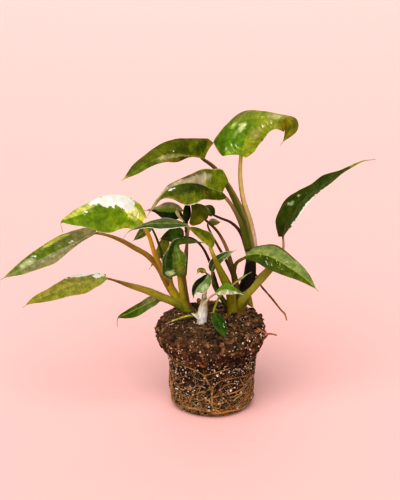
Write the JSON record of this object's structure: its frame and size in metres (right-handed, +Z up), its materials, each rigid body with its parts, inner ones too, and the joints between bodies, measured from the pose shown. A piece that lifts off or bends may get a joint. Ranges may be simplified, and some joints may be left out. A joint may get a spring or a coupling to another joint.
{
  "type": "unpotted variegated philodendron with bare root ball",
  "caption": "Leafy variegated philodendron lifted out with its root ball: broad green and cream blades on long stems over a round plug of soil bound by roots, standing on a flat foot.",
  "frame": {"origin": "middle of the root ball's flat underside, on the surface it stands on", "axes": "+Z up; -Y towards the viewer of the picture; +X to the viewer's right, and the leaves spread furthest along X"},
  "size_m": [0.3625, 0.1054, 0.2903],
  "materials": {
    "soil": "rough and matt",
    "roots": "fibrous and matt",
    "stems": "smooth, softly shining",
    "sheath": "smooth and pale",
    "leaf": "smooth, softly shining"
  },
  "bodies": {
    "root": {"soil_ball": "soil", "root_net": "roots", "aerial_root": "roots", "lip_root": "roots", "stem_left": "stems", "stem_right": "stems", "shoot_centre": "sheath", "leaf_top_left": "leaf", "leaf_top_right": "leaf", "leaf_two_tone": "leaf", "leaf_white_patch": "leaf", "leaf_far_left": "leaf", "leaf_low_left": "leaf", "leaf_small_left": "leaf", "leaf_pale_margin": "leaf", "leaf_olive": "leaf", "leaf_far_right": "leaf", "leaf_right": "leaf", "leaf_centre": "leaf", "leaf_dark_behind": "leaf", "leaf_mid_back": "leaf", "leaf_dark_centre": "leaf", "leaf_mid_right": "leaf", "leaf_small_dark": "leaf", "leaf_small_olive": "leaf", "leaf_striped": "leaf", "leaf_curled": "leaf", "leaf_low_centre": "leaf", "leaf_on_soil": "leaf", "leaf_hanging_back": "leaf", "leaf_tip_back": "leaf", "leaf_cream_tip": "leaf", "leaf_back_right": "leaf", "leaf_brown_curl": "leaf", "leaf_needle": "leaf", "leaf_grass": "leaf"}
  },
  "joints": []
}
